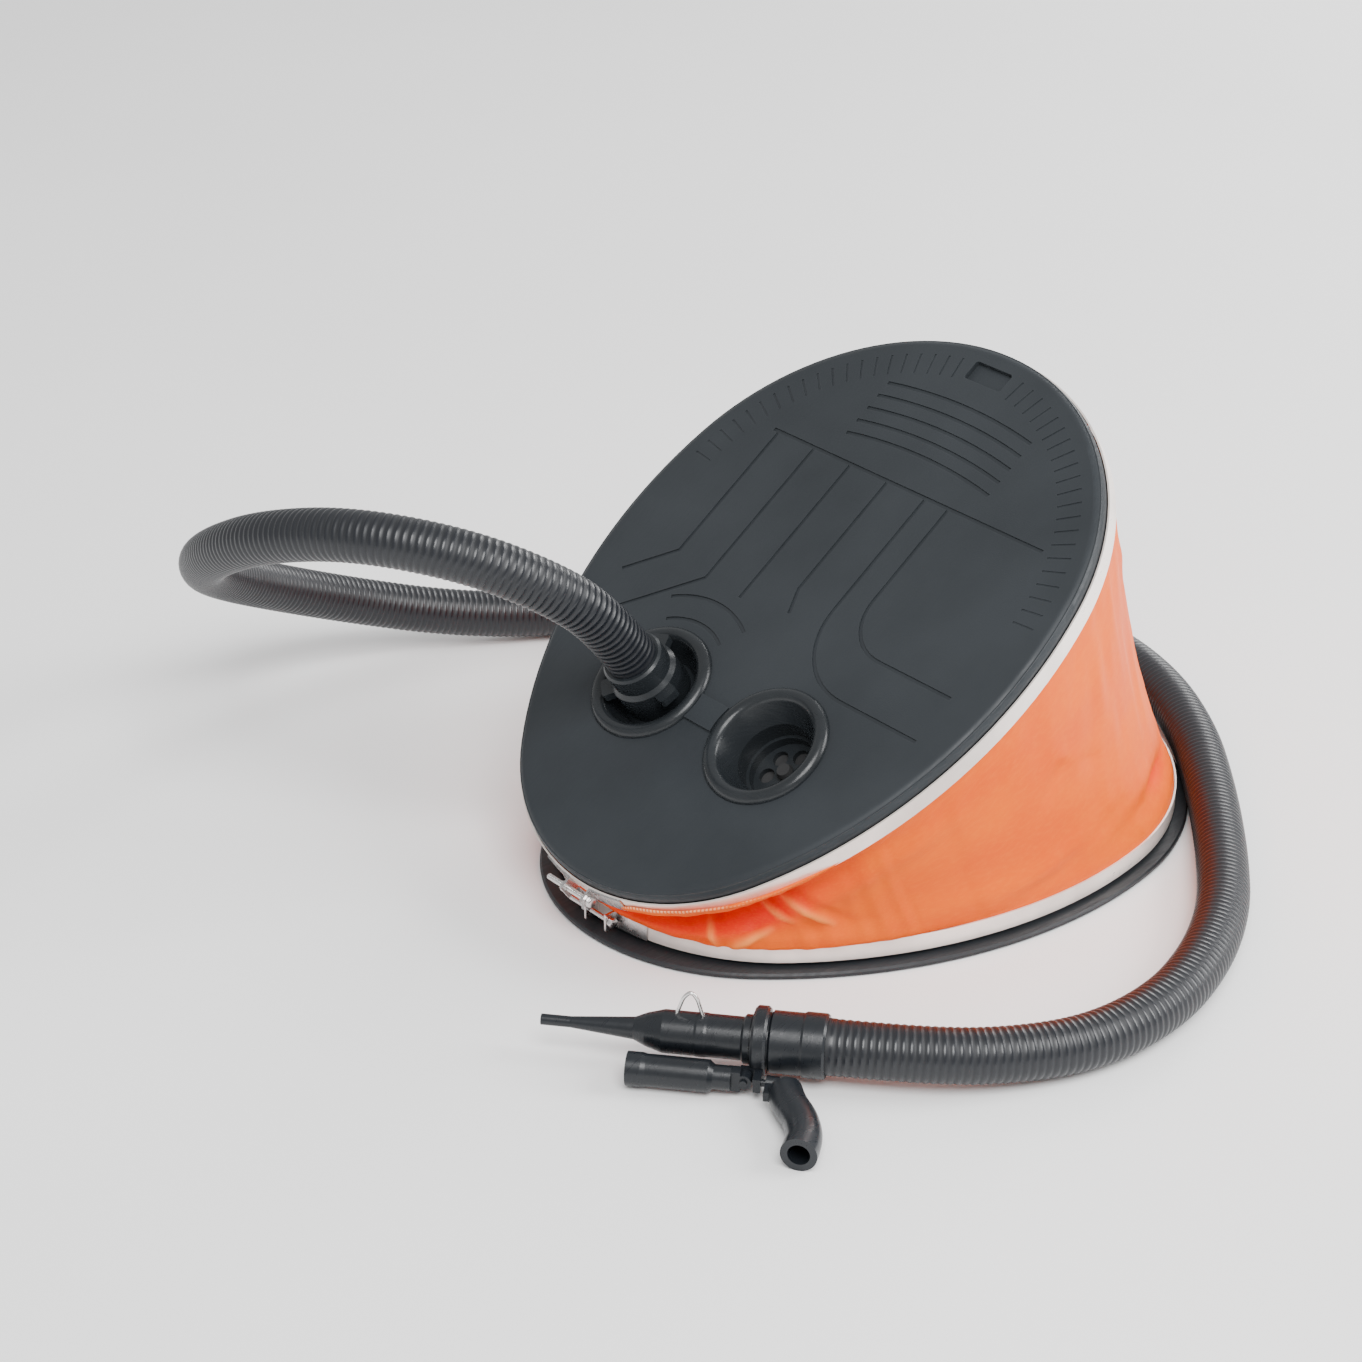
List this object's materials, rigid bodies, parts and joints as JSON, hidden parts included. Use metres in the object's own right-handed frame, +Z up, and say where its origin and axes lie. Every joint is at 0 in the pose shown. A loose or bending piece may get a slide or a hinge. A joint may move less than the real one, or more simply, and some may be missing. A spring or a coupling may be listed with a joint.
{
  "type": "foot air pump",
  "caption": "Foot-operated bellows air pump: two oval plates hinged at one end, fabric bellows between them, corrugated hose with a nozzle set.",
  "frame": {"origin": "on the floor under the middle of the base, on the middle rubber pad", "axes": "+X from the hinge end to the open end, +Y to the side of the hose port, +Z up"},
  "size_m": [0.4273, 0.5007, 0.2016],
  "materials": {
    "pedal_plastic": "moulded dark grey plastic, semi-gloss",
    "port_plastic": "black moulded plastic",
    "base_plastic": "moulded dark grey plastic",
    "band_metal": "polished aluminium strip",
    "steel": "bright plated steel",
    "bellows_fabric": "orange coated fabric",
    "rubber": "black rubber",
    "hose_plastic": "black corrugated hose",
    "nozzle_plastic": "black moulded plastic"
  },
  "bodies": {
    "base": {"base_plate": "base_plastic", "base_pads": "rubber", "hinge_pin": "steel", "hinge_clips": "steel", "return_spring": "steel", "bellows": "bellows_fabric", "lower_band": "band_metal", "lower_band_tongue": "band_metal", "lower_band_brackets": "steel", "lower_clamp_bolt": "steel", "lower_clamp_nut": "steel", "hose": "hose_plastic", "hose_end_cuff": "nozzle_plastic", "adapter_ring": "nozzle_plastic"},
    "pedal": {"pedal_plate": "pedal_plastic", "upper_band": "band_metal", "upper_band_tongue": "band_metal", "upper_band_brackets": "steel", "upper_clamp_bolt": "steel", "upper_clamp_nut": "steel", "outlet_cup": "port_plastic", "inlet_cup": "port_plastic"},
    "inlet_flap": {"inlet_valve": "rubber"},
    "outlet_flap": {"outlet_valve": "rubber"},
    "hose_plug": {"hose_cuff": "port_plastic"},
    "nozzle": {"main_nozzle": "nozzle_plastic", "nozzle_loop": "steel"},
    "wide_tip": {"wide_adapter": "nozzle_plastic"},
    "curved_tip": {"curved_adapter": "nozzle_plastic"}
  },
  "joints": [
    {"name": "pedal_hinge", "type": "hinge", "parent": "base", "child": "pedal", "pos_m": [-0.138, 0, 0.012], "axis": [0, 1, 0], "range_deg": [0, 34], "stiffness_Nm_per_rad": 10, "springref_deg": -20.05, "deforming": ["return_spring", "bellows", "hose"]},
    {"name": "inlet_valve_lift", "type": "slide", "parent": "pedal", "child": "inlet_flap", "axis": [0.5592, 0, -0.829], "range_m": [0, 0.002], "stiffness_N_per_m": 100, "springref_m": -0.0002},
    {"name": "outlet_valve_lift", "type": "slide", "parent": "pedal", "child": "outlet_flap", "axis": [-0.5592, 0, 0.829], "range_m": [0, 0.002], "stiffness_N_per_m": 100, "springref_m": -0.0002},
    {"name": "hose_cuff_twist", "type": "hinge", "parent": "pedal", "child": "hose_plug", "pos_m": [-0.0943, 0.037, 0.0849], "axis": [-0.5592, 0, 0.829], "range_deg": [0, 40]},
    {"name": "nozzle_pull", "type": "slide", "parent": "base", "child": "nozzle", "axis": [-0.6361, 0.7716, 0], "range_m": [0, 0.03]},
    {"name": "wide_adapter_swing", "type": "hinge", "parent": "base", "child": "wide_tip", "pos_m": [-0.17472, -0.11808, 0.0075], "axis": [0.7716, 0.6361, 0], "range_deg": [0, 45]},
    {"name": "curved_adapter_swing", "type": "hinge", "parent": "base", "child": "curved_tip", "pos_m": [-0.1685, -0.15313, 0.0075], "axis": [-0.6361, 0.7716, 0], "range_deg": [0, 60]}
  ]
}
